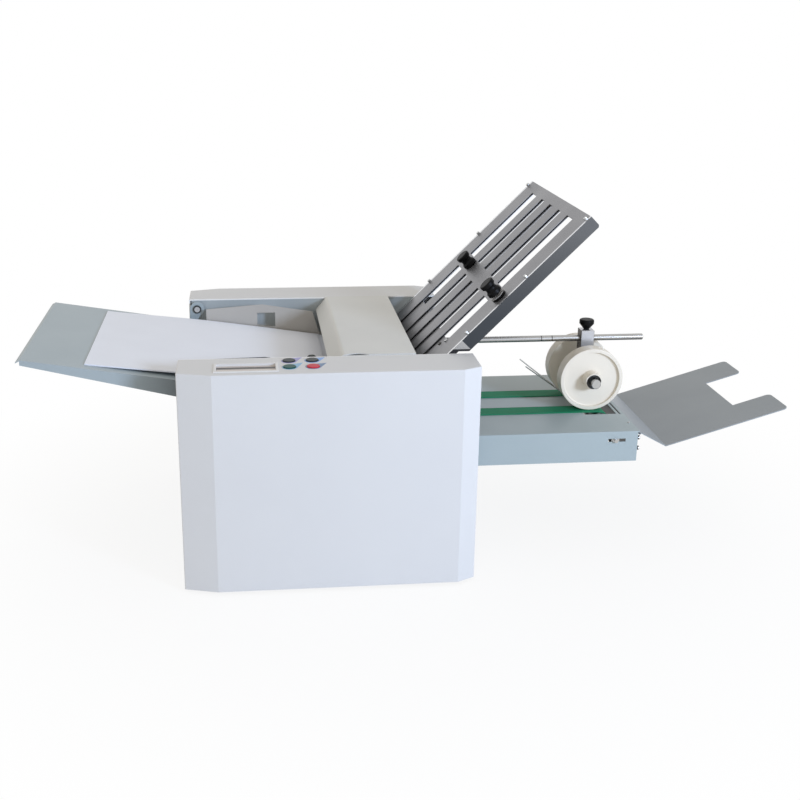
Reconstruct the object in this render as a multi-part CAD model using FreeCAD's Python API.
"""Desk paper folding machine: friction feed, two buckle fold plates, belt conveyor and delivery tray.

Millimetres. Paper runs along +X, -Y is the operator's side, +Z is up and the feet stand on z = 0.
While it is built, x = 0 is the left end of the covers and y = 0 is the machine's middle plane;
each piece is moved along X as it is saved, so that the whole machine is centred on x = 0.
"""
import os

import FreeCAD, Part
from math import acos, atan2, cos, degrees, hypot, pi, radians, sin, sqrt, tan

# ---------------------------------------------------------------- driving dimensions: body
body_length = 420.0
body_width = 503.0
cover_height = 324.4
cover_depth = 77.5
cover_lap = 1.0
cover_wall = 2.0
cover_floor_gap = 5.0
cover_left_chamfer = 48.0
cover_right_chamfer = 26.0
cover_chamfer_depth = 13.5
cover_edge_radius = 1.6
plate_thick = 3.0
plate_left = 4.0
plate_right = 416.0
plate_notch_x = 384.0
plate_notch_z = 283.0
base_height = 12.0
base_thick = 2.0
left_wall_top = 255.0
right_wall_top = 135.0
foot_radius = 12.0
foot_taper = 2.0
foot_inset = 40.0
tie_rod_radius = 6.0
tie_rod_left_in = 26.0
tie_rod_right_in = 28.0
tie_rod_low = 28.0
tie_rod_high = 218.0
tie_rod_top = (326.0, 290.0)
seat_clearance = 0.02
running_clearance = 0.05
air_gap = 0.3
bolt_proud = 4.0
over = 1.0
pick = 0.5

# ---------------------------------------------------------------- driving dimensions: infeed
tray_left = -218.0
tray_lip_reach = 5.6
tray_left_height = 330.8
tray_fall = 0.1398
tray_extra_fall = 0.0199
tray_side_gap = 10.0
tray_right = 10.0
sheet_thick = 1.5
tray_lip_drop = 2.8
tray_flange_shallow = 7.5
tray_flange_deep = 26.0
tray_pivot_x = 13.5
tray_pivot_z = 314.6
tray_pivot_radius = 3.0
tray_ear_radius = 12.0
tray_ear_thick = 2.5
pivot_head_radius = 7.0
pivot_head_height = 2.2
pivot_head_round = 0.8
pivot_spacer_radius = 7.5
table_left = 31.0
table_right = 262.0
table_nose = 11.0
table_nose_drop = 9.0
table_flange = 14.0
pad_half = 12.0
pad_room = 2.0
pad_gap = 0.6
pad_thick = 4.4
pad_stem_radius = 4.0
pad_holder_half = 15.0
pad_holder_drop = 30.0
pad_holder_thick = 3.0
guide_side_gap = 6.0
guide_left = 29.0
guide_right = 207.0
guide_left_top = 317.1
front_guide_left_top = 322.4
guide_peak_x = 122.0
guide_peak_z = 324.2
guide_right_top = 310.2
guide_end_slant = 12.0
guide_travel = 90.0
guide_wall = 1.5
guide_foot = 17.0
guide_clear = 0.8
guide_slot_room = 4.0
guide_slot_end_gap = 2.0
slider_half = 8.0
slider_room = 3.0
slider_under = 7.0
slider_above = 4.0
guide_shelf_z = 319.8
guide_shelf_thick = 2.0
guide_knob_off = 11.0
guide_knob_radius = 6.5
guide_knob_height = 8.6
guide_knob_round = 3.5
guide_lock_gap = 1.2
guide_rail_x = 188.0
guide_rail_drop = 16.0
guide_rail_radius = 4.0
guide_window_left = 114.0
guide_window_width = 30.0
guide_window_bottom = 285.5
guide_window_height = 24.5

# ---------------------------------------------------------------- driving dimensions: rollers
roller_radius = 17.5
roller_side_gap = 7.0
roller_chamfer = 0.6
nip_gap = 0.6
shaft_radius = 5.0
bush_radius = 9.0
bush_flange = 2.0
nip_x = 306.0
second_roller_turn = -20.0
third_roller_turn = -100.0
gear_teeth = 24
gear_width = 8.0
gear_offset = 4.0
gear_tail = 1.0
tooth_top = 0.75
tooth_root = 1.05
tooth_tip_share = 0.13
tooth_foot_share = 0.30
feed_roller_x = 235.0
feed_roller_radius = 15.0
feed_roller_length = 60.0
feed_gap = 1.2
pulley_width = 10.0
pulley_offset = 15.0
pulley_tail = 3.0
pulley_cheek = 2.5
pulley_cheek_thick = 1.0
fold_pulley_radius = 24.0
motor_pulley_radius = 12.0
transfer_pulley_radius = 10.0
belt_thick = 1.5
belt_edge_gap = 1.0
motor_x = 130.0
motor_z = 96.0
motor_radius = 42.0
motor_length = 115.0
motor_shaft_radius = 6.0
motor_shaft_room = 2.0
motor_bore_depth = 30.0
motor_round = 4.0
motor_flange_half = 45.0
motor_flange_thick = 8.0
cable_box_half = 20.0
cable_box_in = 20.0
cable_box_out = 40.0
cable_box_sink = 6.0
cable_box_height = 14.0

# ---------------------------------------------------------------- driving dimensions: fold plates
fold_top_x = 581.0
fold_top_z = 525.2
fold_angle = 44.85
fold_side_gap = 1.5
fold_sheet = 1.0
fold_space = 1.8
fold_mouth_gap = 15.0
fold_flange_deep = 19.0
fold_flange_low = 332.4
fold_flange_tail = 8.0
fold_flange_length = 277.0
fold_flange_corner = 2.5
slot_bank_1 = (17.0, 158.0)
slot_bank_2 = (186.0, 340.0)
lower_slot_end = 270.0
lower_centre_slot = 7.0
lower_inner_slot = 12.0
inner_slot_width = 18.0
inner_slot_pitch = 50.0
outer_slot_width = 32.0
outer_slot_centre = 107.0
stud_inset = 6.5
stud_first = 10.0
front_stud_inset = 4.6
front_stud_first = 7.5
stud_pitch = 115.5
stud_radius = 2.8
stud_neck_radius = 1.8
stud_height = 4.8
stud_round = 1.0
stud_nut_radius = 3.4
stud_nut_height = 2.2
bracket_back = 51.0
bracket_length = 44.0
bracket_thick = 2.0
bracket_foot = 20.0
bracket_web = 22.0
stop_at = 170.0
stop_travel = 5.0
stop_bar_width = 14.0
stop_bar_play = 0.3
stop_bar_end_gap = 8.0
stop_knob_y = 70.0
adjust_knob_inset = 26.5
knob_height = 22.5
knob_radius = 11.3
knob_round = 2.2
knob_taper = 0.4
knob_bulb = 6.5
knob_waist = 8.4
knob_disc_radius = 11.5
knob_disc_thick = 4.4
knob_lift = 7.4
knob_stem_radius = 2.0
knob_stem_sink = 2.0
lower_plate_length = 170.0
lower_mouth_gap = 18.0
lower_side_gap = 2.0
lower_spacer = 12.0
lower_spacer_start = 20.0

# ---------------------------------------------------------------- driving dimensions: hood, panel
hood_left = 214.0
hood_bend = 232.0
hood_right = 337.0
hood_left_z = 309.0
hood_top = 331.0
hood_sheet = 1.5
hood_bend_radius = 8.0
hood_side_gap = 2.5
hood_lip_thick = 2.0
hood_lip_drop = 8.0
hood_cheek_in = 14.0
hood_cheek_front_drop = 4.0
hood_cheek_back_drop = 12.0
hood_notch_x = 252.5
hood_notch_length = 33.0
hood_notch_depth = 5.5
hood_notch_drop = 1.6
hood_pin_x = 226.0
hood_pin_z = 317.5
hood_pin_radius = 2.5
hood_pin_tip_radius = 2.0
hood_pin_proud = 3.0
hood_boss_radius = 3.8
hood_boss_length = 6.0
hood_rest = (305.0, 312.0)
hood_rest_reach = 4.0
display_left = 50.4
display_length = 88.5
display_from_front = 12.0
display_depth = 39.4
display_frame = 3.6
display_drop = 2.0
display_rim = 1.1
display_rim_chamfer = 0.4
display_glass = 2.0
button_radius = 9.0
button_travel = 2.0
button_proud = 1.8
button_skirt = 4.0
button_round = 1.2
button_flange = 1.5
button_first_x = 154.5
button_pitch_x = 32.6
button_front_row = 31.0
button_back_row = 60.0
board_drop = 14.0
board_thick = 1.6
board_margin = 6.0
board_reach = 20.0
board_front = 15.0
board_depth = 54.0
board_post_radius = 2.5
board_post_inset = 3.5
chip_count = 4
chip_first = 15.0
chip_pitch = 30.0
chip_length = 20.0
chip_front = 10.0
chip_depth = 30.0
chip_height = 3.4
key_radius = 3.0
inlet_place = (84.0, 60.0)
inlet_half = 16.0
inlet_half_height = 8.0
inlet_lip = 3.5
inlet_lip_thick = 2.0
inlet_depth = 24.0
inlet_rim = 3.5
inlet_socket_depth = 16.0
inlet_pins = ((-7.0, -1.0), (0.0, 2.0), (7.0, -1.0))
inlet_pin_recess = 3.0
inlet_pin_half = 1.0
inlet_pin_half_height = 2.0
switch_place = (128.0, 60.0)
switch_half = 11.0
switch_half_height = 5.5
switch_lip = 2.0
switch_lip_thick = 1.5
switch_depth = 14.0
switch_wall = 2.0
rocker_inset = 6.0
rocker_end_gap = 1.8
rocker_dip = 1.6

# ---------------------------------------------------------------- driving dimensions: conveyor
conveyor_left = 368.0
conveyor_right = 686.5
conveyor_width = 288.4
conveyor_top = 190.4
conveyor_height = 48.5
conveyor_round = 1.4
conveyor_lip = 12.0
conveyor_brow = 2.5
support_in = 4.0
support_width = 12.0
support_height = 5.0
drive_opening_in = 3.0
drive_opening_room = 20.0
shaft_room = 1.0
drive_roller_x = 388.0
tail_roller_x = 652.0
belt_roller_radius = 14.0
belt_roller_half = 61.0
belt_neck_radius = 9.0
belt_neck_gap = 8.0
tail_pin_radius = 3.3
tail_end_gap = 4.0
belt_width = 30.0
belt_centre = 41.4
belt_grip = 0.15
belt_opening_left = 624.0
belt_opening_right = 677.0
belt_opening_half = 65.0
tension_slot_length = 27.5
tension_slot_height = 5.0
tension_slot_back = 12.0
tension_wall_reach = 3.0
tension_head_radius = 3.2
tension_head_height = 3.5
tension_washer_radius = 3.5
tension_washer_thick = 1.0
tension_block_half = 6.0
tension_block_depth = 7.5
tension_neck_half = 4.4
tension_play = 0.2
tray_hinge_out = 2.5
tray_hinge_down = 4.0
tray_curl_radius = 2.2
tray_pin_radius = 1.2
tray_slot_x = 682.5
tray_slot_width = 3.0
tray_slot_half = 66.0
lug_inset = 19.2
lug_spread = 24.0
lug_thick = 3.0

# ---------------------------------------------------------------- driving dimensions: wheels
rod_radius = 5.0
rod_stub_radius = 3.5
rod_chamfer = 0.8
rod_z = 298.5
rod_end = 732.4
rod_marks = (564.0, 581.5)
rod_mark_width = 1.2
rod_mark_depth = 0.4
crossbar_x = 373.0
crossbar_width = 12.0
crossbar_height = 10.0
clamp_x = 638.5
clamp_width = 21.6
clamp_depth = 21.0
clamp_bottom = 272.0
clamp_top = 313.0
clamp_chamfer = 0.8
clamp_screw_radius = 3.0
clamp_screw_gap = 0.6
clamp_knob_top = 329.5
clamp_knob_radius = 11.7
clamp_knob_neck = 6.0
clamp_knob_rim = 7.0
clamp_knob_round = 2.6
clamp_collar_radius = 4.6
clamp_collar_height = 2.4
wheel_radius = 50.5
wheel_x = 638.0
wheel_width = 23.0
wheel_inner_face = 26.0
wheel_rim = 5.5
wheel_recess = 5.0
wheel_round = 1.2
wheel_recess_round = 2.0
hub_radius = 14.0
hub_flare = 0.8
hub_taper = 0.8
hub_proud = 12.0
hub_step = 6.0
bearing_radius = 11.5
axle_radius = 4.0
axle_head_radius = 7.5
axle_head_length = 13.0
axle_head_chamfer = 0.8
arm_thick = 7.0
arm_eye_radius = 5.5
arm_front = 19.0
arm_front_high = 8.0
arm_front_low = 20.0
arm_back = 10.0
arm_back_drop = 12.0
arm_sleeve_radius = 9.0
arm_heel = 2.0
arm_pivot_x = 633.0
arm_pivot_z = 283.0
arm_pin_radius = 2.0
arm_pin_inset = 3.0
wire_radius = 1.0
wire_half_pitch = 2.0
wire_knee_back = 38.0
wire_knee_drop = 32.5
wire_tip_x = 537.7
wire_tip_y = 20.0
wire_tip_z = 258.0

# ---------------------------------------------------------------- driving dimensions: delivery
delivery_fold_x = 739.8
delivery_fold_z = 157.2
delivery_rise = 16.52
delivery_length = 200.7
delivery_width = 248.6
delivery_notch_back = 62.5
delivery_notch_half = 57.0
delivery_corner = 8.0
prop_length = 28.0
prop_depth = 34.0
prop_foot = 4.0
prop_y = 84.0

# ---------------------------------------------------------------- worked-out places
half_body = body_width / 2
plate_gap = body_width - 2 * (cover_depth - cover_lap)
half_gap = plate_gap / 2
plate_out = half_gap + plate_thick
cover_in = half_body - cover_depth
cover_top = cover_floor_gap + cover_height
cover_under = cover_top - cover_wall
tray_width = plate_gap - 2 * tray_side_gap
ear_out = tray_width / 2 + tray_ear_thick
guide_span = plate_gap - 2 * (guide_foot + guide_side_gap)
guide_knob_y = -guide_span / 2 - guide_knob_off
roller_length = plate_gap - 2 * roller_side_gap
fold_width = plate_gap - 2 * fold_side_gap
fold_under = 2 * fold_sheet + fold_space
stud_row = fold_width / 2 - stud_inset
adjust_knob_y = adjust_knob_inset - fold_width / 2
hood_half = half_gap - hood_side_gap
rocker_axis_y = half_body - rocker_inset
belt_neck_half = conveyor_width / 2 - belt_neck_gap
tray_hinge = (conveyor_right + tray_hinge_out, conveyor_top - tray_hinge_down)
lug_outer = conveyor_width / 2 - lug_inset
lug_pairs = ((-lug_outer, -lug_outer + lug_spread),
             (lug_outer - lug_spread - lug_thick, lug_outer - lug_thick))
roller_pitch = 2 * roller_radius + nip_gap
delivery_right = (delivery_fold_x + delivery_length * cos(radians(delivery_rise))
                  + sheet_thick * sin(radians(delivery_rise)))
machine_centre = (tray_left - tray_lip_reach + delivery_right) / 2
fold_cos, fold_sin = cos(radians(fold_angle)), sin(radians(fold_angle))
wheel_z = conveyor_top + belt_grip + belt_thick + air_gap + wheel_radius
gear_y = plate_out + gear_offset
pulley_y = plate_out + pulley_offset


def tray_height(x):
    """Height of the paper's path on the infeed tray and the feed table."""
    return tray_left_height - (x - tray_left) * tray_fall


def deck_height(x):
    """Height of the infeed tray's own deck, which falls a little faster than the paper's path."""
    return tray_left_height - (x - tray_left) * (tray_fall + tray_extra_fall)


def fold_height(x):
    """Height of the upper fold plate's top face."""
    return fold_top_z - (fold_top_x - x) * fold_sin / fold_cos


def polar(start, length, turn):
    return (start[0] + length * cos(radians(turn)), start[1] + length * sin(radians(turn)))


# The paper leaves the first nip along the upper fold plate, so rollers 1 and 2 lie across its line.
nip_line_z = fold_height(nip_x) - (fold_sheet + fold_space / 2) / fold_cos
first_nip = (nip_x, nip_line_z)
roller_1 = polar(first_nip, roller_pitch / 2, fold_angle + 90)
roller_2 = polar(first_nip, roller_pitch / 2, fold_angle - 90)
roller_3 = polar(roller_2, roller_pitch, second_roller_turn)
roller_4 = polar(roller_3, roller_pitch, third_roller_turn)
feed_roller_z = tray_height(feed_roller_x) + feed_gap + feed_roller_radius
feed_centre = (feed_roller_x, feed_roller_z)
feed_span = hypot(roller_1[0] - feed_centre[0], roller_1[1] - feed_centre[1])
feed_turn = degrees(atan2(roller_1[1] - feed_centre[1], roller_1[0] - feed_centre[0]))
idler_turn = degrees(acos(feed_span / 2 / roller_pitch))
idler = polar(feed_centre, roller_pitch, feed_turn - idler_turn)
second_nip = polar(roller_2, roller_pitch / 2, second_roller_turn)
belt_roller_z = conveyor_top - belt_roller_radius
drive_roller = (drive_roller_x, belt_roller_z)
tail_roller = (tail_roller_x, belt_roller_z)


# ---------------------------------------------------------------- shape helpers
def V(x, y, z):
    return FreeCAD.Vector(x, y, z)


def box(x0, x1, y0, y1, z0, z1):
    return Part.makeBox(x1 - x0, y1 - y0, z1 - z0, V(x0, y0, z0))


def rod_y(centre, radius, y0, y1):
    return Part.makeCylinder(radius, y1 - y0, V(centre[0], y0, centre[1]), V(0, 1, 0))


def rod_x(y, z, radius, x0, x1):
    return Part.makeCylinder(radius, x1 - x0, V(x0, y, z), V(1, 0, 0))


def rod_z_at(x, y, radius, z0, z1):
    return Part.makeCylinder(radius, z1 - z0, V(x, y, z0), V(0, 0, 1))


def ring_y(centre, outer, inner, y0, y1):
    return rod_y(centre, outer, y0, y1).cut(rod_y(centre, inner, y0 - over, y1 + over))


def rod_between(start, end, radius):
    way = end - start
    return Part.makeCylinder(radius, way.Length, start, way)


def prism_xz(points, y0, y1):
    corners = [V(x, y0, z) for x, z in points]
    face = Part.Face(Part.makePolygon(corners + corners[:1]))
    return face.extrude(V(0, y1 - y0, 0))


def prism_xy(points, z0, z1):
    corners = [V(x, y, z0) for x, y in points]
    face = Part.Face(Part.makePolygon(corners + corners[:1]))
    return face.extrude(V(0, 0, z1 - z0))


def band_xz(points, thick, y0, y1):
    """A sheet bent along the given top line, with its thickness below it."""
    lower = [(x, z - thick) for x, z in reversed(points)]
    return prism_xz(points + lower, y0, y1)


def mirror_y(shape):
    return shape.mirror(V(0, 0, 0), V(0, 1, 0))


def fuse(first, *others):
    return first.multiFuse(list(others)).removeSplitter()


def both_sides(shape):
    return [shape, mirror_y(shape)]


def on_slope(shape):
    """Puts a shape drawn flat onto the fold plate: x runs down the slope and -z stands off its face."""
    turned = shape.copy()
    turn = FreeCAD.Rotation(V(0, 1, 0), 180 - fold_angle)
    place = FreeCAD.Placement(V(fold_top_x, 0, fold_top_z), turn)
    turned.Placement = place.multiply(turned.Placement)
    return turned


def save(name, *shapes):
    moved = []
    for shape in shapes:
        for solid in shape.Solids:
            copy = solid.copy()
            copy.translate(V(-machine_centre, 0, 0))
            moved.append(copy)
    whole = moved[0] if len(moved) == 1 else Part.makeCompound(moved)
    whole.exportStep("parts/%s.step" % name)


# ---------------------------------------------------------------- frame
def side_plate(side):
    """Steel side plate with a bored seat for every bush; side is -1 at the operator and 1 at the back."""
    y0, y1 = sorted((side * half_gap, side * plate_out))
    outline = [
        (plate_left, base_height),
        (plate_right, base_height),
        (plate_right, plate_notch_z - (plate_right - plate_notch_x)),
        (plate_notch_x, plate_notch_z),
        (plate_notch_x, cover_under),
        (plate_left, cover_under),
    ]
    plate = prism_xz(outline, y0, y1)
    holes = [rod_y(c, bush_radius, y0 - over, y1 + over) for c in bush_centres if side > 0 or c != idler]
    holes.append(rod_y((tray_pivot_x, tray_pivot_z), tray_pivot_radius, y0 - over, y1 + over))
    holes.append(rod_y((hood_pin_x, hood_pin_z), hood_pin_radius, y0 - over, y1 + over))
    if side > 0:
        holes.append(rod_y((motor_x, motor_z), motor_shaft_radius + motor_shaft_room, y0 - over, y1 + over))
    return plate.cut(Part.makeCompound(holes))


def base_pan():
    """Folded base with a wall turned up at each end, under the infeed tray and under the conveyor."""
    low = base_height - base_thick
    floor = box(plate_left, plate_right, -plate_out, plate_out, low, base_height)
    left = box(plate_left, plate_left + base_thick, -half_gap, half_gap, low, left_wall_top)
    right = box(plate_right - base_thick, plate_right, -half_gap, half_gap, low, right_wall_top)
    return fuse(floor, left, right)


def rubber_feet():
    feet = []
    for x in (plate_left + foot_inset, plate_right - foot_inset):
        for y in (foot_inset - plate_out, plate_out - foot_inset):
            foot = Part.makeCone(foot_radius - foot_taper, foot_radius, base_height - base_thick, V(x, y, 0))
            feet.append(foot)
    return feet


def tie_rods():
    """Round bars that hold the side plates apart, and the rail that the paper guides slide on."""
    rods = [rod_y(c, tie_rod_radius, -half_gap, half_gap) for c in tie_rod_centres]
    rail = rod_y((guide_rail_x, guide_rail_z), guide_rail_radius, -half_gap, half_gap)
    return rods + [rail]


def cover_outline(side):
    far = side * half_body
    bevel = side * (half_body - cover_chamfer_depth)
    near = side * cover_in
    return [
        (0, near),
        (0, bevel),
        (cover_left_chamfer, far),
        (body_length - cover_right_chamfer, far),
        (body_length, bevel),
        (body_length, near),
    ]


def cover_shell(side):
    """Moulded cover: outer wall, chamfered ends and top, open below and towards the side plate."""
    block = prism_xy(cover_outline(side), cover_floor_gap, cover_top)
    soft = [e for e in block.Edges if is_outer_edge(e, side)]
    block = block.makeFillet(cover_edge_radius, soft)
    near = side * (cover_in - cover_wall - over)
    corners = [V(x, y, 0) for x, y in cover_outline(side)]
    corners[0].y = corners[-1].y = near
    face = Part.Face(Part.makePolygon(corners + corners[:1]))
    hollow = face.makeOffset2D(-cover_wall, 2).extrude(V(0, 0, cover_under))
    return block.cut(hollow)


def is_outer_edge(edge, side):
    """True for the upper rim and the upright corners that face away from the machine."""
    middle = edge.CenterOfMass
    if abs(middle.y) < cover_in + pick:
        return False
    upright = abs(middle.z - (cover_floor_gap + cover_top) / 2) < pick
    return upright or middle.z > cover_top - pick


def front_cover():
    shell = cover_shell(-1)
    cuts = [display_opening(0.0)]
    for x, y in buttons:
        cuts.append(rod_z_at(x, y, button_radius + air_gap, cover_under - over, cover_top + over))
    return shell.cut(Part.makeCompound(cuts))


def rear_cover():
    shell = cover_shell(1)
    y0, y1 = half_body - cover_wall - over, half_body + over
    x, z = inlet_place
    inlet = box(x - inlet_half, x + inlet_half, y0, y1, z - inlet_half_height, z + inlet_half_height)
    x, z = switch_place
    switch = box(x - switch_half, x + switch_half, y0, y1, z - switch_half_height, z + switch_half_height)
    return shell.cut(inlet).cut(switch)


# ---------------------------------------------------------------- control panel
buttons = [
    (button_first_x, button_back_row - half_body),
    (button_first_x + button_pitch_x, button_back_row - half_body),
    (button_first_x, button_front_row - half_body),
    (button_first_x + button_pitch_x, button_front_row - half_body),
]
button_names = ["count_button", "speed_button", "start_button", "stop_button"]


def display_opening(grow):
    y0 = display_from_front - half_body
    inset = display_frame / 2 - grow
    return box(display_left + inset, display_left + display_length - inset,
               y0 + inset, y0 + display_depth - inset, cover_under - over, cover_top + over)


def display_bezel():
    """Raised frame with a skirt that drops through the panel's opening."""
    y0 = display_from_front - half_body
    x1, y1 = display_left + display_length, y0 + display_depth
    rim = box(display_left, x1, y0, y1, cover_top, cover_top + display_rim)
    rim = rim.makeChamfer(display_rim_chamfer,
                          [e for e in rim.Edges if e.CenterOfMass.z > cover_top + display_rim - pick])
    inset = display_frame / 2 + air_gap
    skirt = box(display_left + inset, x1 - inset, y0 + inset, y1 - inset,
                cover_under - display_drop, cover_top)
    hole = box(display_left + display_frame, x1 - display_frame, y0 + display_frame, y1 - display_frame,
               cover_under - display_drop - over, cover_top + display_rim + over)
    return fuse(rim, skirt).cut(hole)


def display_window():
    y0 = display_from_front - half_body
    inset = display_frame + running_clearance
    low = cover_under - display_drop
    return box(display_left + inset, display_left + display_length - inset, y0 + inset,
               y0 + display_depth - inset, low, low + display_glass)


def control_board():
    """Circuit board on the panel's underside, carried by four posts from the cover's top."""
    z1 = cover_under - board_drop
    x0, x1 = display_left - board_margin, button_first_x + button_pitch_x + board_reach
    y0 = board_front - half_body
    y1 = y0 + board_depth
    board = box(x0, x1, y0, y1, z1 - board_thick, z1)
    inset = board_post_inset
    posts = [rod_z_at(x, y, board_post_radius, z1, cover_under)
             for x in (x0 + inset, x1 - inset) for y in (y0 + inset, y1 - inset)]
    chips = []
    for i in range(chip_count):
        left, front = x0 + chip_first + i * chip_pitch, y0 + chip_front
        chips.append(box(left, left + chip_length, front, front + chip_depth,
                         z1 - board_thick - chip_height, z1 - board_thick))
    key_top = cover_under - button_skirt - button_travel - air_gap
    keys = [rod_z_at(x, y, key_radius, z1, key_top) for x, y in buttons]
    return fuse(board, *(posts + chips + keys))


def push_button(place):
    """Domed cap with a flange under the panel; it travels straight down."""
    x, y = place
    low, top = cover_under - button_skirt, cover_top + button_proud
    cap = rod_z_at(x, y, button_radius, low, top)
    cap = cap.makeFillet(button_round, [e for e in cap.Edges if e.CenterOfMass.z > top - pick])
    flange = rod_z_at(x, y, button_radius + button_flange, low, cover_under - air_gap)
    return fuse(cap, flange)


def power_inlet():
    """Three-pin mains inlet, fixed behind the rear cover's wall and flush with its face."""
    x, z = inlet_place
    half, high = inlet_half, inlet_half_height
    wall = half_body - cover_wall
    flange = box(x - half - inlet_lip, x + half + inlet_lip, wall - inlet_lip_thick, wall,
                 z - high - inlet_lip, z + high + inlet_lip)
    body = box(x - half + air_gap, x + half - air_gap, half_body - inlet_depth, half_body - air_gap,
               z - high + air_gap, z + high - air_gap)
    floor = half_body - inlet_socket_depth
    socket = box(x - half + inlet_rim, x + half - inlet_rim, floor, half_body + over,
                 z - high + inlet_rim, z + high - inlet_rim)
    pins = [box(x + dx - inlet_pin_half, x + dx + inlet_pin_half, floor - over, half_body - inlet_pin_recess,
                z + dz - inlet_pin_half_height, z + dz + inlet_pin_half_height) for dx, dz in inlet_pins]
    return fuse(fuse(flange, body).cut(socket), *pins)


def power_switch_frame():
    x, z = switch_place
    half, high = switch_half, switch_half_height
    wall = half_body - cover_wall
    flange = box(x - half - switch_lip, x + half + switch_lip, wall - switch_lip_thick, wall,
                 z - high - switch_lip, z + high + switch_lip)
    sleeve = box(x - half + air_gap, x + half - air_gap, half_body - switch_depth, half_body - air_gap,
                 z - high + air_gap, z + high - air_gap)
    hole = box(x - half + switch_wall, x + half - switch_wall, half_body - switch_depth + switch_wall,
               half_body + over, z - high + switch_wall, z + high - switch_wall)
    return fuse(flange, sleeve).cut(hole)


def power_rocker():
    """Rocker with one end proud; it tips about an upright axis."""
    x, z = switch_place
    reach = switch_half - switch_wall - rocker_end_gap
    half = switch_half_height - switch_wall - air_gap
    y, dip = rocker_axis_y, rocker_dip
    profile = [(x - reach, y - dip), (x + reach, y - dip), (x + reach, y + dip), (x, y + 2 * dip),
               (x - reach, half_body - dip / 2)]
    return prism_xy(profile, z - half, z + half)


# ---------------------------------------------------------------- infeed
guide_rail_z = tray_height(guide_rail_x) - guide_rail_drop


def infeed_tray():
    """Folded sheet with a rolled far edge, a tapered flange down each side and two pivot ears."""
    half = tray_width / 2
    z_left, z_right = deck_height(tray_left), deck_height(tray_right)
    edge = (tray_left - tray_lip_reach, z_left - tray_lip_drop)
    deck = band_xz([edge, (tray_left, z_left), (tray_right, z_right)], sheet_thick, -half, half)
    flange = prism_xz([(tray_left, z_left), (tray_right, z_right), (tray_right, z_right - tray_flange_deep),
                       (tray_left, z_left - tray_flange_shallow)], -half, sheet_thick - half)
    r = tray_ear_radius
    start = tray_pivot_x - r
    ear = prism_xz([(start, deck_height(start) - sheet_thick), (tray_right, z_right - r / 3),
                    (tray_pivot_x + r, tray_pivot_z), (tray_pivot_x, tray_pivot_z + r),
                    (tray_pivot_x - r, tray_pivot_z)], -ear_out, -half)
    ear = fuse(ear, rod_y((tray_pivot_x, tray_pivot_z), r, -ear_out, -half))
    side = fuse(flange, ear).cut(rod_y((tray_pivot_x, tray_pivot_z), tray_pivot_radius, -ear_out - over,
                                     -half + sheet_thick + over))
    return fuse(deck, *both_sides(side))


def infeed_pivot_bolts():
    """Shoulder bolts through the side plates, with a spacer each, that hold the infeed tray's ears."""
    centre = (tray_pivot_x, tray_pivot_z)
    start = air_gap - tray_width / 2
    end = start + pivot_head_height
    head = rod_y(centre, pivot_head_radius, start, end)
    head = head.makeFillet(pivot_head_round, [e for e in head.Edges if e.CenterOfMass.y > end - pick])
    neck = tray_pivot_radius - seat_clearance
    shank = rod_y(centre, neck, -plate_out - bolt_proud, end - over)
    spacer = ring_y(centre, pivot_spacer_radius, neck, -half_gap, -ear_out - air_gap)
    return both_sides(fuse(head, shank, spacer))


def feed_table():
    """Inner table that carries the paper from the tray to the feed roller, fixed to both side plates."""
    z_left, z_right = tray_height(table_left), tray_height(table_right)
    deck = band_xz([(table_left, z_left), (table_right, z_right),
                    (table_right + table_nose, z_right - table_nose_drop)], sheet_thick, -half_gap, half_gap)
    flange = prism_xz([(table_left, z_left), (table_right, z_right), (table_right, z_right - table_flange),
                       (table_left, z_left - table_flange)], -half_gap, -half_gap + sheet_thick)
    pad = pad_half + pad_room
    pad_slot = box(feed_roller_x - pad, feed_roller_x + pad, -pad, pad, z_right - table_flange, z_left)
    slot_in = guide_span / 2 - guide_travel - guide_slot_room
    slot = box(guide_rail_x - slider_half - slider_room, guide_rail_x + slider_half + slider_room,
               slot_in, half_gap - guide_slot_end_gap, guide_rail_z, tray_left_height)
    rail_hole = rod_y((guide_rail_x, guide_rail_z), guide_rail_radius + over,
                      -half_gap - over, half_gap + over)
    cuts = [pad_slot, rail_hole] + both_sides(slot)
    return fuse(deck, *both_sides(flange)).cut(Part.makeCompound(cuts))


def separator_pad():
    """Rubber pad on a stem and a crossbar that lets one sheet past at a time."""
    x, z = feed_roller_x, tray_height(feed_roller_x)
    under = z - pad_gap - pad_thick
    top = box(x - pad_half, x + pad_half, -pad_half, pad_half, under, z - pad_gap)
    stem = rod_z_at(x, 0, pad_stem_radius, z - pad_holder_drop, under)
    holder = box(x - pad_holder_half, x + pad_holder_half, -half_gap, half_gap,
                 z - pad_holder_drop - pad_holder_thick, z - pad_holder_drop)
    return fuse(top, stem, holder)


def guide_slider(side):
    """Block under the table that runs on the guide rail and carries one paper guide."""
    y0, y1 = sorted((side * guide_span / 2, side * (guide_span / 2 + guide_foot)))
    block = box(guide_rail_x - slider_half, guide_rail_x + slider_half, y0, y1,
                guide_rail_z - slider_under, tray_height(guide_rail_x) + slider_above)
    bore = rod_y((guide_rail_x, guide_rail_z), guide_rail_radius + running_clearance, y0 - over, y1 + over)
    return block.cut(bore)


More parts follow.
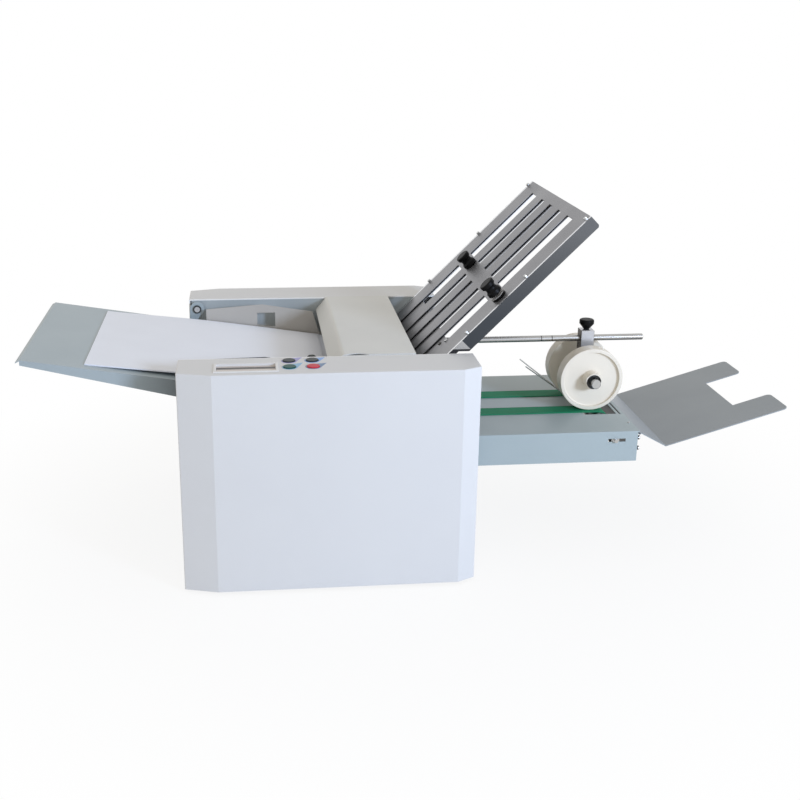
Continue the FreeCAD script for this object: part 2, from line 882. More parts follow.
def paper_guide(side):
    """Upright sheet beside the paper, with a window, on its slider block."""
    inner = side * guide_span / 2
    y0, y1 = sorted((inner, inner + side * guide_wall))
    toe = guide_right + guide_end_slant
    lower = [(toe, tray_height(toe) + guide_clear), (guide_left, tray_height(guide_left) + guide_clear)]
    left_top = guide_left_top if side > 0 else front_guide_left_top
    upper = [(guide_left, left_top), (guide_peak_x, guide_peak_z), (guide_right, guide_right_top)]
    wall = prism_xz(lower + upper, y0, y1)
    window = box(guide_window_left, guide_window_left + guide_window_width, y0 - over, y1 + over,
                 guide_window_bottom, guide_window_bottom + guide_window_height)
    return fuse(wall.cut(window), guide_slider(side))


def front_guide():
    """The operator's guide, with a post and a shelf for the lock knob."""
    inner, outer = -guide_span / 2, -guide_span / 2 - guide_foot
    edge, thick = guide_rail_x - slider_half, guide_shelf_thick
    shelf = box(edge, guide_rail_x + slider_half, outer, inner, guide_shelf_z - thick, guide_shelf_z)
    post = box(edge, edge + thick, outer, inner, guide_rail_z, guide_shelf_z)
    hole = rod_z_at(guide_rail_x, guide_knob_y, knob_stem_radius + running_clearance,
                    guide_rail_z, guide_shelf_z + over)
    return fuse(paper_guide(-1), shelf, post).cut(hole)


def guide_lock_knob():
    """Turned lock knob with a domed head; its stem reaches down to the rail."""
    top = guide_shelf_z + guide_knob_height
    head = rod_z_at(guide_rail_x, guide_knob_y, guide_knob_radius, guide_shelf_z + air_gap, top)
    head = head.makeFillet(guide_knob_round, [e for e in head.Edges if e.CenterOfMass.z > top - pick])
    stem = rod_z_at(guide_rail_x, guide_knob_y, knob_stem_radius,
                    guide_rail_z + guide_rail_radius + guide_lock_gap, guide_shelf_z + over)
    return fuse(head, stem)


# ---------------------------------------------------------------- rollers and drive
def gear(centre, phase, teeth, y0):
    """Spur gear with straight-sided teeth, cut with enough backlash to run freely."""
    module = roller_pitch / gear_teeth
    pitch = module * teeth / 2
    outer, root = pitch + tooth_top * module, pitch - tooth_root * module
    tip, foot = tooth_tip_share, tooth_foot_share
    step = 2 * pi / teeth
    points = []
    for i in range(teeth):
        middle = radians(phase) + i * step
        for radius, share in ((root, -foot), (outer, -tip), (outer, tip), (root, foot)):
            angle = middle + share * step
            points.append((centre[0] + radius * cos(angle), centre[1] + radius * sin(angle)))
    blank = prism_xz(points, y0, y0 + gear_width)
    return blank.cut(rod_y(centre, shaft_radius + seat_clearance, y0 - over, y0 + gear_width + over))


def meshed_phase(first, second, phase):
    """Phase in degrees of a second gear of the same teeth that meshes with the first."""
    line = degrees(atan2(second[1] - first[1], second[0] - first[0]))
    return 2 * line + 180 - phase - 180 / gear_teeth


def roller_body(centre, radius, length, rear_end):
    core = rod_y(centre, radius, -length / 2, length / 2)
    rims = [e for e in core.Edges if len(e.Vertexes) == 1]
    core = core.makeChamfer(roller_chamfer, rims)
    return fuse(core, rod_y(centre, shaft_radius, -plate_out - bolt_proud, rear_end))


def pulley(centre, radius, y0, bore):
    """Flanged pulley."""
    y1, thick = y0 + pulley_width, pulley_cheek_thick
    hub = rod_y(centre, radius, y0, y1)
    cheeks = [rod_y(centre, radius + pulley_cheek, y, y + thick) for y in (y0 - thick, y1)]
    return fuse(hub, *cheeks).cut(rod_y(centre, bore, y0 - thick - over, y1 + thick + over))


def flat_belt(first, r1, second, r2, y0, y1, thick, gap):
    """Closed belt round two pulleys, drawn as an outer loop less an inner loop."""
    outer = belt_loop(first, r1 + gap + thick, second, r2 + gap + thick, y0, y1)
    inner = belt_loop(first, r1 + gap, second, r2 + gap, y0 - over, y1 + over)
    return outer.cut(inner)


def belt_loop(first, r1, second, r2, y0, y1):
    span = hypot(second[0] - first[0], second[1] - first[1])
    line = degrees(atan2(second[1] - first[1], second[0] - first[0]))
    wrap = degrees(acos((r1 - r2) / span))
    tangents = [polar(first, r1, line + wrap), polar(second, r2, line + wrap),
                polar(second, r2, line - wrap), polar(first, r1, line - wrap)]
    return fuse(prism_xz(tangents, y0, y1), rod_y(first, r1, y0, y1), rod_y(second, r2, y0, y1))


phase_2 = 0.0
phase_1 = meshed_phase(roller_2, roller_1, phase_2)
phase_3 = meshed_phase(roller_2, roller_3, phase_2)
phase_4 = meshed_phase(roller_3, roller_4, phase_3)
phase_idler = meshed_phase(roller_1, idler, phase_1)
phase_feed = meshed_phase(idler, feed_centre, phase_idler)
gear_end = gear_y + gear_width + gear_tail
pulley_end = pulley_y + pulley_width + pulley_tail
motor_centre = (motor_x, motor_z)
bush_centres = [roller_1, roller_2, roller_3, roller_4, feed_centre, idler, drive_roller]
tie_rod_centres = [
    (plate_left + tie_rod_left_in, base_height + tie_rod_low),
    (plate_left + tie_rod_left_in, base_height + tie_rod_high),
    (plate_right - tie_rod_right_in, base_height + tie_rod_low),
    tie_rod_top,
]


def plain_roller(centre, phase):
    return [roller_body(centre, roller_radius, roller_length, gear_end),
            gear(centre, phase, gear_teeth, gear_y)]


def driven_roller():
    return [roller_body(roller_2, roller_radius, roller_length, pulley_end),
            gear(roller_2, phase_2, gear_teeth, gear_y),
            pulley(roller_2, fold_pulley_radius, pulley_y, shaft_radius + seat_clearance)]


def lower_roller():
    return [roller_body(roller_4, roller_radius, roller_length, pulley_end),
            gear(roller_4, phase_4, gear_teeth, gear_y),
            pulley(roller_4, transfer_pulley_radius, pulley_y, shaft_radius + seat_clearance)]


def feed_roller():
    """Rubber feed tyre on its steel shaft, with its gear."""
    shaft = rod_y(feed_centre, shaft_radius, -plate_out - bolt_proud, gear_end)
    tyre = ring_y(feed_centre, feed_roller_radius, shaft_radius + seat_clearance,
                  -feed_roller_length / 2, feed_roller_length / 2)
    return [shaft, tyre, gear(feed_centre, phase_feed, gear_teeth, gear_y)]


def idler_gear():
    stub = rod_y(idler, shaft_radius, half_gap + air_gap, gear_end)
    return [stub, gear(idler, phase_idler, gear_teeth, gear_y)]


def bushes():
    """Flanged sleeve bushes, one in each side plate for every shaft."""
    rings = []
    for centre in bush_centres:
        bore = shaft_radius + running_clearance
        sleeve = ring_y(centre, bush_radius - seat_clearance, bore, -plate_out, -half_gap)
        flange = ring_y(centre, bush_radius + bush_flange, bore, -plate_out - bush_flange, -plate_out)
        bush = fuse(sleeve, flange)
        rings.append(mirror_y(bush))
        if centre != idler:
            rings.append(bush)
    return rings


def motor():
    """Geared motor bolted to the inner face of the rear side plate."""
    start, seat = half_gap - motor_length, half_gap - motor_flange_thick
    can = rod_y(motor_centre, motor_radius, start, seat)
    can = can.makeFillet(motor_round, [e for e in can.Edges if e.CenterOfMass.y < start + pick])
    half = motor_flange_half
    flange = box(motor_x - half, motor_x + half, seat, half_gap, motor_z - half, motor_z + half)
    top = motor_z + motor_radius
    cable_box = box(motor_x - cable_box_half, motor_x + cable_box_half, start + cable_box_in,
                    half_gap - cable_box_out, top - cable_box_sink, top + cable_box_height)
    bore = rod_y(motor_centre, motor_shaft_radius + running_clearance, half_gap - motor_bore_depth,
                 half_gap + over)
    return fuse(can, flange, cable_box).cut(bore)


def motor_pulley():
    shaft = rod_y(motor_centre, motor_shaft_radius, half_gap - motor_bore_depth + over, pulley_end)
    wheel = pulley(motor_centre, motor_pulley_radius, pulley_y, motor_shaft_radius / 2)
    return fuse(shaft, wheel)


def timing_belts():
    """Main belt from the motor to roller 2, and the transfer belt from roller 4 to the conveyor."""
    y0, y1 = pulley_y + belt_edge_gap, pulley_y + pulley_width - belt_edge_gap
    main = flat_belt(motor_centre, motor_pulley_radius, roller_2, fold_pulley_radius, y0, y1,
                     belt_thick, belt_grip)
    transfer = flat_belt(roller_4, transfer_pulley_radius, drive_roller, transfer_pulley_radius, y0, y1,
                         belt_thick, belt_grip)
    return [main, transfer]


# ---------------------------------------------------------------- fold plates
def fold_lowest():
    """How far down the slope the upper plate runs, so that its mouth clears the first nip."""
    return (fold_top_x - nip_x) / fold_cos - fold_mouth_gap


def slot_cutters(widths, end, z0, z1):
    """Two banks of five slots: the widths run from the centre slot outwards, and bank two stops at end."""
    cutters = []
    for y, width in zip((0, inner_slot_pitch, outer_slot_centre), widths):
        for x0, x1 in (slot_bank_1, (slot_bank_2[0], end)):
            for side in sorted({y, -y}):
                cutters.append(box(x0, x1, side - width / 2, side + width / 2, z0, z1))
    return Part.makeCompound(cutters)


def stop_slots():
    """Short slots for the stop knobs' stems, hidden under the knobs."""
    r = knob_stem_radius + air_gap
    slots = [box(stop_at - stop_travel - r, stop_at + stop_travel + r, y - r, y + r, -over,
                 fold_sheet + over)
             for y in (stop_knob_y, adjust_knob_y)]
    return Part.makeCompound(slots)


def flange_end(depth):
    """Place along the slope where the flange, at a depth below the sheet, meets its level lower edge."""
    return (fold_top_z - fold_flange_low - depth * fold_cos) / fold_sin


def upper_sheet():
    """Top sheet of the upper fold plate with its slots and a folded flange on each side."""
    half = fold_width / 2
    sheet = box(0, fold_lowest(), -half, half, 0, fold_sheet)
    widths = (inner_slot_width, inner_slot_width, outer_slot_width)
    sheet = sheet.cut(slot_cutters(widths, slot_bank_2[1], -over, fold_sheet + over)).cut(stop_slots())
    tip, deep, tail, corner = fold_flange_length, fold_flange_deep, fold_flange_tail, fold_flange_corner
    outline = [(0, 0), (tip, 0), (tip, tail), (flange_end(tail), tail), (flange_end(deep), deep),
               (corner, deep), (0, deep - corner)]
    flange = prism_xz(outline, -half, -half + fold_sheet)
    return on_slope(fuse(sheet, *both_sides(flange)).cut(stud_holes(-over, fold_sheet + over)))


def lower_sheet():
    """Bottom sheet of the upper fold plate; the paper slides between the two."""
    half = fold_width / 2 - fold_sheet - air_gap
    z0, z1 = fold_sheet + fold_space, fold_under
    sheet = box(fold_sheet, fold_lowest(), -half, half, z0, z1)
    widths = (lower_centre_slot, lower_inner_slot, outer_slot_width)
    sheet = sheet.cut(slot_cutters(widths, lower_slot_end, z0 - over, z1 + over))
    return on_slope(sheet.cut(stud_holes(z0 - over, z1 + over)))


def stud_places():
    """Three studs along each side edge; the front row sits a little nearer its edge and the top."""
    places = []
    for i in range(3):
        places.append((front_stud_first + i * stud_pitch, front_stud_inset - fold_width / 2))
        places.append((stud_first + i * stud_pitch, stud_row))
    return places


def stud_holes(z0, z1):
    return Part.makeCompound([rod_z_at(x, y, stud_neck_radius, z0, z1) for x, y in stud_places()])


def fold_plate_studs():
    """Six spacer screws that hold the two sheets the paper's thickness apart."""
    studs = []
    for x, y in stud_places():
        head = rod_z_at(x, y, stud_radius, -stud_height, 0)
        head = head.makeFillet(stud_round, [e for e in head.Edges if e.CenterOfMass.z < -stud_height + pick])
        shank = rod_z_at(x, y, stud_neck_radius - seat_clearance, 0, fold_under + over)
        spacer = rod_z_at(x, y, stud_radius, fold_sheet, fold_sheet + fold_space)
        nut = rod_z_at(x, y, stud_nut_radius, fold_under, fold_under + stud_nut_height)
        studs.append(on_slope(fuse(head, shank, spacer, nut)))
    return studs


def plate_brackets():
    """Angle brackets that carry the upper fold plate on the side plates."""
    start = fold_lowest() - bracket_back
    end, seat = start + bracket_length, fold_under
    web = box(start, end, -half_gap, -half_gap + bracket_thick, seat, seat + bracket_web)
    foot = box(start, end, -half_gap, bracket_foot - fold_width / 2, seat, seat + bracket_thick)
    return both_sides(on_slope(fuse(web, foot)))


def stop_bar():
    """Flat bar between the two sheets that stops the paper; the knobs' stems are threaded into it."""
    half = fold_width / 2 - stop_bar_end_gap
    bar = box(stop_at - stop_bar_width / 2, stop_at + stop_bar_width / 2, -half, half,
              fold_sheet + stop_bar_play, fold_sheet + fold_space - stop_bar_play)
    holes = [rod_z_at(stop_at, y, knob_stem_radius + running_clearance, 0, fold_sheet + fold_space)
             for y in (stop_knob_y, adjust_knob_y)]
    return on_slope(bar.cut(Part.makeCompound(holes)))


def hourglass(y, lift):
    """Waisted grip knob, turned from black plastic, on a threaded stem; a lifted one has a lock disc."""
    base = -air_gap - lift
    top = base - knob_height
    rim, edge = knob_radius, knob_round
    side = rim - knob_taper
    bulge = edge * (1 - cos(pi / 4))
    points = [V(0, 0, base), V(rim - edge, 0, base), V(rim, 0, base - edge), V(side, 0, base - knob_bulb),
              V(side, 0, top + knob_bulb), V(rim, 0, top + edge), V(rim - edge, 0, top), V(0, 0, top)]
    edges = [
        Part.LineSegment(points[0], points[1]),
        Part.Arc(points[1], V(rim - bulge, 0, base - bulge), points[2]),
        Part.LineSegment(points[2], points[3]),
        Part.Arc(points[3], V(knob_waist, 0, (base + top) / 2), points[4]),
        Part.LineSegment(points[4], points[5]),
        Part.Arc(points[5], V(rim - bulge, 0, top + bulge), points[6]),
        Part.LineSegment(points[6], points[7]),
        Part.LineSegment(points[7], points[0]),
    ]
    outline = Part.Wire([edge_curve.toShape() for edge_curve in edges])
    grip = Part.Face(outline).revolve(V(0, 0, 0), V(0, 0, 1), 360)
    grip.translate(V(stop_at, y, 0))
    stem = rod_z_at(stop_at, y, knob_stem_radius, base - knob_stem_sink,
                    fold_sheet + fold_space - stop_bar_play)
    pieces = [grip, stem]
    if lift:
        pieces.append(rod_z_at(stop_at, y, knob_disc_radius, -air_gap - knob_disc_thick, -air_gap))
    return on_slope(fuse(*pieces))


def lower_fold_plate():
    """Second buckle plate, below the rollers: two sheets joined by side spacers."""
    turn = radians(second_roller_turn)
    run, across = (sin(turn), -cos(turn)), (cos(turn), sin(turn))
    start = (second_nip[0] + run[0] * lower_mouth_gap, second_nip[1] + run[1] * lower_mouth_gap)

    def point(along, off):
        return (start[0] + run[0] * along + across[0] * off, start[1] + run[1] * along + across[1] * off)

    def slab(begin, near, far, y0, y1):
        return prism_xz([point(begin, near), point(lower_plate_length, near),
                         point(lower_plate_length, far), point(begin, far)], y0, y1)

    inner, outer = fold_space / 2, fold_space / 2 + fold_sheet
    side = half_gap - lower_side_gap
    pieces = [slab(0, inner, outer, -side, side), slab(0, -outer, -inner, -side, side)]
    pieces += both_sides(slab(lower_spacer_start, -outer, outer, half_gap - lower_spacer, half_gap))
    return fuse(*pieces)


# ---------------------------------------------------------------- hood
def hood():
    """Bent sheet cover over the feed and fold rollers, with a cheek at each side that turns on a pin."""
    half = hood_half
    outer = [(hood_left, hood_left_z), (hood_bend, hood_top), (hood_right, hood_top)]
    rise, run = hood_top - hood_left_z, hood_bend - hood_left
    slope = hypot(run, rise)
    front = (hood_left + rise / slope * hood_sheet, hood_left_z - run / slope * hood_sheet)
    inner_x, inner_z = hood_bend + hood_sheet * tan(atan2(rise, run) / 2), hood_top - hood_sheet
    skin = prism_xz(outer + [(hood_right, inner_z), (inner_x, inner_z), front], -half, half)
    skin = round_bend(skin, hood_bend, hood_top, hood_bend_radius)
    skin = round_bend(skin, inner_x, inner_z, hood_bend_radius - hood_sheet)
    middle_z = hood_top - hood_sheet / 2
    lip = box(hood_right - hood_lip_thick, hood_right, -half, half, hood_top - hood_lip_drop, middle_z)
    cheek = prism_xz([front, (hood_left + hood_cheek_in, hood_left_z - hood_cheek_front_drop),
                      (hood_right, hood_top - hood_cheek_back_drop), (hood_right, middle_z),
                      (inner_x, inner_z)], -half, -half + hood_sheet)
    boss = rod_y((hood_pin_x, hood_pin_z), hood_boss_radius, -half, -half + hood_boss_length)
    bore = rod_y((hood_pin_x, hood_pin_z), hood_pin_tip_radius + running_clearance,
                 -half - over, -half + hood_boss_length + over)
    side = fuse(cheek, boss).cut(bore)
    return fuse(skin, lip, *both_sides(side)).cut(finger_notch())


def round_bend(skin, x, z, radius):
    """Rounds the one bend that runs across the hood at the given place."""
    bends = [e for e in skin.Edges if hypot(e.CenterOfMass.x - x, e.CenterOfMass.z - z) < pick]
    return skin.makeFillet(radius, bends)


def finger_notch():
    """Cutter for the shallow arc in the hood's front edge that a finger lifts it by."""
    chord, deep = hood_notch_length, hood_notch_depth
    radius = (chord ** 2 / 4 + deep ** 2) / (2 * deep)
    return rod_z_at(hood_notch_x, -hood_half + deep - radius, radius, hood_top - hood_notch_drop,
                    hood_top + over)


def hood_pins():
    """Stepped pins fixed in the side plates; the hood's cheeks turn on their inner ends."""
    centre = (hood_pin_x, hood_pin_z)
    step = -hood_half - air_gap
    pin = fuse(rod_y(centre, hood_pin_radius - seat_clearance, -plate_out - hood_pin_proud, step),
               rod_y(centre, hood_pin_tip_radius, step, -hood_half + hood_boss_length))
    rest = rod_y(hood_rest, hood_pin_radius, -half_gap, -hood_half + hood_rest_reach)
    return both_sides(pin) + both_sides(rest)


# ---------------------------------------------------------------- conveyor
def conveyor_bed():
    """Folded steel channel with openings for the belts and a brow that hides the delivery tray's hinge."""
    half = conveyor_width / 2
    low, thick = conveyor_top - conveyor_height, sheet_thick
    end = conveyor_right + conveyor_brow
    block = box(conveyor_left, end, -half, half, low, conveyor_top)
    block = block.makeFillet(conveyor_round, [e for e in block.Edges if is_top_side(e)])
    block = block.cut(box(conveyor_right, end + over, -half - over, half + over, low - over,
                          conveyor_top - thick))
    hollow = box(conveyor_left - over, conveyor_right - thick, -half + thick, half - thick,
                 low - over, conveyor_top - thick)
    lip = box(conveyor_left, conveyor_right - thick, -half, -half + conveyor_lip, low, low + thick)
    channel = fuse(block.cut(hollow), *both_sides(lip)).cut(conveyor_cuts())
    return fuse(channel, *tray_lugs())


def is_top_side(edge):
    """True for the channel's two long upper bends."""
    middle = edge.CenterOfMass
    return abs(abs(middle.y) - conveyor_width / 2) < pick and abs(middle.z - conveyor_top) < pick


def conveyor_cuts():
    half = conveyor_width / 2
    top = (conveyor_top - sheet_thick - over, conveyor_top + over)
    slot = box(tail_roller_x - tension_slot_back, tail_roller_x - tension_slot_back + tension_slot_length,
               -half - over, -half + tension_wall_reach, belt_roller_z - tension_slot_height / 2,
               belt_roller_z + tension_slot_height / 2)
    cuts = [
        box(belt_opening_left, belt_opening_right, -belt_opening_half, belt_opening_half, *top),
        box(conveyor_left + drive_opening_in, drive_roller_x + drive_opening_room,
            -belt_opening_half, belt_opening_half, *top),
        box(tray_slot_x - tray_slot_width / 2, tray_slot_x + tray_slot_width / 2,
            -tray_slot_half, tray_slot_half, *top),
        rod_y(drive_roller, shaft_radius + shaft_room, -half - over, half + over),
    ]
    return Part.makeCompound(cuts + both_sides(slot))


def tray_lugs():
    """Two pairs of lugs on the conveyor's end, each with a pin that the delivery tray's curl turns on."""
    x, z = tray_hinge
    r = tray_curl_radius
    pieces = []
    for inner, outer in lug_pairs:
        for y in (inner, outer):
            lug = rod_y(tray_hinge, r, y, y + lug_thick)
            tab = box(conveyor_right - sheet_thick, x, y, y + lug_thick, z - r, z + r)
            pieces += [lug, tab]
        pieces.append(rod_y(tray_hinge, tray_pin_radius, inner, outer + lug_thick))
    return pieces


def conveyor_supports():
    """Two flat bars across the frame; the conveyor's lower lips are screwed down on them."""
    low = conveyor_top - conveyor_height
    starts = (conveyor_left + support_in, plate_right - support_in - support_width)
    return [box(x, x + support_width, -half_gap, half_gap, low - support_height, low) for x in starts]


def belt_roller(centre, radius, front_end, rear_end):
    """Turned roller: thick under the belts, thinner out to its bearings."""
    core = rod_y(centre, belt_roller_radius, -belt_roller_half, belt_roller_half)
    neck = rod_y(centre, belt_neck_radius, -belt_neck_half, belt_neck_half)
    return fuse(core, neck, rod_y(centre, radius, front_end, rear_end))


def drive_belt_roller():
    body = belt_roller(drive_roller, shaft_radius, -plate_out - bolt_proud, pulley_end)
    wheel = pulley(drive_roller, transfer_pulley_radius, pulley_y, shaft_radius + seat_clearance)
    return [body, wheel]


def tail_belt_roller():
    reach = conveyor_width / 2 - tail_end_gap
    return belt_roller(tail_roller, tail_pin_radius, -reach, reach)


def conveyor_belts():
    belts = []
    for y in (-belt_centre, belt_centre):
        belts.append(flat_belt(drive_roller, belt_roller_radius, tail_roller, belt_roller_radius,
                               y - belt_width / 2, y + belt_width / 2, belt_thick, belt_grip))
    return belts


def tension_bolts():
    """Hexagon bolts and bearing blocks that set the tail roller's place in the tension slots."""
    face = -conveyor_width / 2
    x, z = tail_roller
    corners = [polar(tail_roller, tension_head_radius, 60 * i) for i in range(6)]
    head = prism_xz(corners, face - tension_washer_thick - tension_head_height, face - tension_washer_thick)
    washer = rod_y(tail_roller, tension_washer_radius, face - tension_washer_thick, face)
    half = tension_block_half
    block = box(x - half, x + half, face + sheet_thick, face + tension_block_depth, z - half, z + half)
    high = tension_slot_height / 2 - tension_play
    neck = box(x - tension_neck_half, x + tension_neck_half, face - pick, face + sheet_thick + pick,
               z - high, z + high)
    bolt = fuse(head, washer, neck, block)
    bore = rod_y(tail_roller, tail_pin_radius + running_clearance, face + tail_end_gap - over,
                 face + tension_block_depth + over)
    return both_sides(bolt.cut(bore))


# ---------------------------------------------------------------- wheel rod and wheels
def rod_crossbar():
    """Square bar between the side plates that the wheel rod is screwed into."""
    bar = box(crossbar_x - crossbar_width / 2, crossbar_x + crossbar_width / 2, -half_gap, half_gap,
              rod_z - crossbar_height / 2, rod_z + crossbar_height / 2)
    hole = rod_x(0, rod_z, rod_stub_radius + seat_clearance, crossbar_x - crossbar_width,
                 crossbar_x + crossbar_width)
    return bar.cut(hole)


def wheel_rod():
    """Round bar with a screwed stub at its left end and two turned marks."""
    start = crossbar_x + crossbar_width / 2
    rod = rod_x(0, rod_z, rod_radius, start, rod_end)
    rod = rod.makeChamfer(rod_chamfer, [e for e in rod.Edges if e.CenterOfMass.x > rod_end - pick])
    stub = rod_x(0, rod_z, rod_stub_radius, crossbar_x - crossbar_width / 2, start + over)
    grooves = []
    for x in rod_marks:
        ring = rod_x(0, rod_z, rod_radius + over, x, x + rod_mark_width)
        core = rod_x(0, rod_z, rod_radius - rod_mark_depth, x - over, x + rod_mark_width + over)
        grooves.append(ring.cut(core))
    return fuse(rod, stub).cut(Part.makeCompound(grooves))


def clamp_block():
    """Block that slides on the rod; a slot in its underside takes the swing arm and its pin."""
    x0, x1 = clamp_x - clamp_width / 2, clamp_x + clamp_width / 2
    block = box(x0, x1, -clamp_depth / 2, clamp_depth / 2, clamp_bottom, clamp_top)
    block = block.makeChamfer(clamp_chamfer, block.Edges)
    slot_half = arm_thick / 2 + air_gap
    slot = box(x0 - over, x1 + over, -slot_half, slot_half, clamp_bottom - over,
               arm_pivot_z + arm_eye_radius + over)
    bore = rod_x(0, rod_z, rod_radius + running_clearance, x0 - over, x1 + over)
    thread = rod_z_at(clamp_x, 0, clamp_screw_radius + running_clearance, rod_z, clamp_top + over)
    pin_half = clamp_depth / 2 - arm_pin_inset
    pin = rod_y((arm_pivot_x, arm_pivot_z), arm_pin_radius, -pin_half, pin_half)
    return fuse(block.cut(slot).cut(bore).cut(thread), pin)


def clamp_knob():
    """Mushroom knob on a screw that locks the clamp block on the rod."""
    start, brim = clamp_top + clamp_collar_height, clamp_knob_top - clamp_knob_rim
    cone = Part.makeCone(clamp_knob_neck, clamp_knob_radius, brim - start, V(clamp_x, 0, start))
    crown = rod_z_at(clamp_x, 0, clamp_knob_radius, brim, clamp_knob_top)
    crown = crown.makeFillet(clamp_knob_round,
                             [e for e in crown.Edges if e.CenterOfMass.z > clamp_knob_top - pick])
    collar = rod_z_at(clamp_x, 0, clamp_collar_radius, clamp_top + air_gap, start)
    screw = rod_z_at(clamp_x, 0, clamp_screw_radius, rod_z + rod_radius + clamp_screw_gap, start)
    return fuse(cone, crown, collar, screw)


def swing_arm():
    """Plate arm that hangs from the clamp block's pin and carries the axle in a sleeve."""
    axle_at = (wheel_x, wheel_z)
    x, z = arm_pivot_x, arm_pivot_z
    eye_half, foot_half = arm_eye_radius, arm_sleeve_radius
    plate = prism_xz([(x - eye_half, z), (x + eye_half, z), (x + arm_front, z - arm_front_high),
                      (x + arm_front, z - arm_front_low), (wheel_x + foot_half, wheel_z + arm_heel),
                      (wheel_x - foot_half, wheel_z), (x - arm_back, z - arm_front_low),
                      (x - arm_back, z - arm_back_drop)], -arm_thick / 2, arm_thick / 2)
    eye = rod_y((x, z), arm_eye_radius, -arm_thick / 2, arm_thick / 2)
    sleeve_half = wheel_inner_face - air_gap
    sleeve = rod_y(axle_at, arm_sleeve_radius, -sleeve_half, sleeve_half)
    pin_bore = rod_y((x, z), arm_pin_radius + running_clearance, -sleeve_half, sleeve_half)
    axle_bore = rod_y(axle_at, axle_radius + seat_clearance, -sleeve_half - over, sleeve_half + over)
    return fuse(plate, eye, sleeve).cut(pin_bore).cut(axle_bore)


def guide_wires():
    """Forked wire on the sleeve that leads the folded sheets down under the wheels."""
    knee_x, knee_z = wheel_x - wire_knee_back, wheel_z - wire_knee_drop
    share = (arm_sleeve_radius + air_gap) / hypot(wire_knee_back, wire_knee_drop)
    root_x, root_z = wheel_x - wire_knee_back * share, wheel_z - wire_knee_drop * share
    wires = []
    for side in (-1, 1):
        root = V(root_x, side * wire_half_pitch, root_z)
        knee = V(knee_x, side * wire_half_pitch, knee_z)
        tip = V(wire_tip_x, side * wire_tip_y, wire_tip_z)
        wires += [rod_between(root, knee, wire_radius), rod_between(knee, tip, wire_radius)]
        wires += [Part.makeSphere(wire_radius, knee), Part.makeSphere(wire_radius, tip)]
    return fuse(*wires)


def wheel_axle():
    """Steel axle with a turned head at each end."""
    axle_at = (wheel_x, wheel_z)
    face = wheel_inner_face + wheel_width + hub_proud
    end = -face - axle_head_length
    shaft = rod_y(axle_at, axle_radius, -face, face)
    head = rod_y(axle_at, axle_head_radius, end, -face + hub_step - air_gap)
    head = head.makeChamfer(axle_head_chamfer, [e for e in head.Edges if e.CenterOfMass.y < end + pick])
    return fuse(shaft, *both_sides(head))


def pressing_wheel():
    """Moulded wheel: rim, recessed web and a hub with a bored seat for its bearing."""
    axle_at = (wheel_x, wheel_z)
    inner, outer = -wheel_inner_face, -wheel_inner_face - wheel_width
    web, hub_end = outer + wheel_recess, outer - hub_proud
    rim = rod_y(axle_at, wheel_radius, outer, inner)
    rim = rim.makeFillet(wheel_round, [e for e in rim.Edges if len(e.Vertexes) == 1])
    recess = rod_y(axle_at, wheel_radius - wheel_rim, outer - over, web)
    recess = recess.makeFillet(wheel_recess_round,
                               [e for e in recess.Edges if e.CenterOfMass.y > web - pick])
    hub = Part.makeCone(hub_radius + hub_flare, hub_radius - hub_taper, web + over - hub_end,
                        V(wheel_x, web + over, wheel_z), V(0, -1, 0))
    seat = rod_y(axle_at, bearing_radius, hub_end - over, hub_end + hub_step)
    bore = rod_y(axle_at, axle_radius + running_clearance, hub_end - over, inner + over)
    return fuse(rim.cut(recess), hub).cut(seat).cut(bore)


# ---------------------------------------------------------------- delivery tray
def delivery_tray():
    """Sheet tray with a curled edge on the conveyor's pins: a short strip down, then a deck that rises."""
    half = delivery_width / 2
    x, z = tray_hinge
    top = V(x, 0, z + tray_curl_radius)
    fold = V(delivery_fold_x, 0, delivery_fold_z)
    reach = conveyor_width / 2
    corners = [top + V(0, -reach, 0), fold + V(0, -half, 0), fold + V(0, half, 0), top + V(0, reach, 0)]
    strip = Part.Face(Part.makePolygon(corners + corners[:1])).extrude(V(0, 0, -sheet_thick))
    curl = rod_y(tray_hinge, tray_curl_radius, -reach, reach)
    bend = rod_y((fold.x, fold.z - sheet_thick / 2), sheet_thick / 2, -half, half)
    tray = fuse(strip, deck_plate(half), bend, curl, *both_sides(tray_prop()))
    bore = rod_y(tray_hinge, tray_pin_radius + running_clearance, -reach - over, reach + over)
    gap = tray_curl_radius + 2 * air_gap
    cuts = [bore]
    for pair in lug_pairs:
        for y in pair:
            cuts.append(rod_y(tray_hinge, gap, y - air_gap, y + lug_thick + air_gap))
    return tray.cut(Part.makeCompound(cuts))


def tray_prop():
    """Gusset under the strip whose back edge bears on the conveyor's end and holds the tray up."""
    x, z = tray_hinge
    face = conveyor_right + air_gap
    fall = (z - delivery_fold_z) / (delivery_fold_x - x)
    tip = x + prop_length
    outline = [(face, z), (face, z - prop_depth), (face + prop_foot, z - prop_depth),
               (tip, z - fall * prop_length), (x, z)]
    return prism_xz(outline, prop_y, prop_y + sheet_thick)


def deck_plate(half):
    """The rising deck, drawn flat from the fold line and turned up about it."""
    back = delivery_length - delivery_notch_back
    notch = delivery_notch_half
    outline = [(0, -half), (delivery_length, -half), (delivery_length, -notch), (back, -notch),
               (back, notch), (delivery_length, notch), (delivery_length, half), (0, half)]
    plate = prism_xy(outline, -sheet_thick, 0)
    tips = [e for e in plate.Edges if is_tip_corner(e)]
    plate = plate.makeFillet(delivery_corner, tips)
    turn = FreeCAD.Rotation(V(0, 1, 0), -delivery_rise)
    plate.Placement = FreeCAD.Placement(V(delivery_fold_x, 0, delivery_fold_z), turn)
    return plate


def is_tip_corner(edge):
    middle = edge.CenterOfMass
    return abs(middle.z + sheet_thick / 2) < pick and middle.x > delivery_length - pick


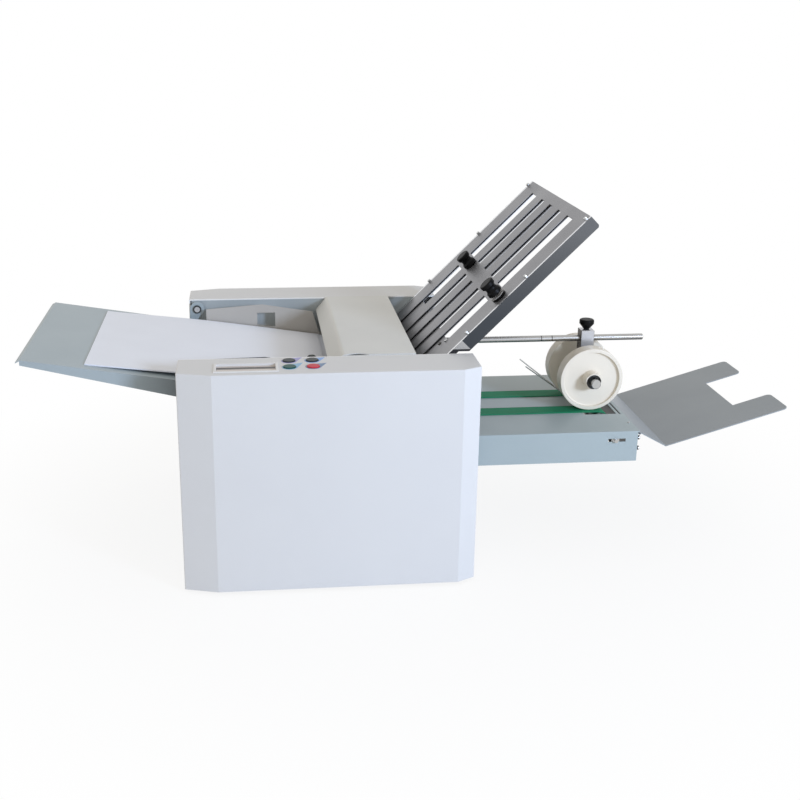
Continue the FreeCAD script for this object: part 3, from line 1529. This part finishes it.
# ---------------------------------------------------------------- build
def build():
    os.makedirs("parts", exist_ok=True)
    save("base_pan", base_pan())
    save("rubber_feet", *rubber_feet())
    save("front_side_plate", side_plate(-1))
    save("rear_side_plate", side_plate(1))
    save("tie_rods", *tie_rods())
    save("front_cover", front_cover())
    save("rear_cover", rear_cover())
    save("display_bezel", display_bezel())
    save("display_window", display_window())
    save("control_board", control_board())
    for name, place in zip(button_names, buttons):
        save(name, push_button(place))
    save("power_inlet", power_inlet())
    save("power_switch_frame", power_switch_frame())
    save("power_rocker", power_rocker())
    save("infeed_tray", infeed_tray())
    save("infeed_pivot_bolts", *infeed_pivot_bolts())
    save("feed_table", feed_table())
    save("separator_pad", separator_pad())
    save("front_guide", front_guide())
    save("rear_guide", paper_guide(1))
    save("guide_lock_knob", guide_lock_knob())
    save("fold_roller_1", *plain_roller(roller_1, phase_1))
    save("fold_roller_2", *driven_roller())
    save("fold_roller_3", *plain_roller(roller_3, phase_3))
    save("fold_roller_4", *lower_roller())
    save("feed_roller", *feed_roller())
    save("idler_gear", *idler_gear())
    save("shaft_bushes", *bushes())
    save("motor", motor())
    save("motor_pulley", motor_pulley())
    save("timing_belts", *timing_belts())
    save("upper_fold_sheet", upper_sheet())
    save("lower_fold_sheet", lower_sheet())
    save("fold_plate_studs", *fold_plate_studs())
    save("fold_plate_brackets", *plate_brackets())
    save("stop_bar", stop_bar())
    save("rear_stop_knob", hourglass(stop_knob_y, 0.0))
    save("front_stop_knob", hourglass(adjust_knob_y, knob_lift))
    save("lower_fold_plate", lower_fold_plate())
    save("hood", hood())
    save("hood_pins", *hood_pins())
    save("conveyor_bed", conveyor_bed())
    save("conveyor_supports", *conveyor_supports())
    save("conveyor_belts", *conveyor_belts())
    save("drive_belt_roller", *drive_belt_roller())
    save("tail_belt_roller", tail_belt_roller())
    save("tension_bolts", *tension_bolts())
    save("rod_crossbar", rod_crossbar())
    save("wheel_rod", wheel_rod())
    save("clamp_block", clamp_block())
    save("clamp_knob", clamp_knob())
    save("swing_arm", swing_arm())
    save("guide_wires", guide_wires())
    save("wheel_axle", wheel_axle())
    save("front_wheel", pressing_wheel())
    save("rear_wheel", mirror_y(pressing_wheel()))
    save("delivery_tray", delivery_tray())


build()
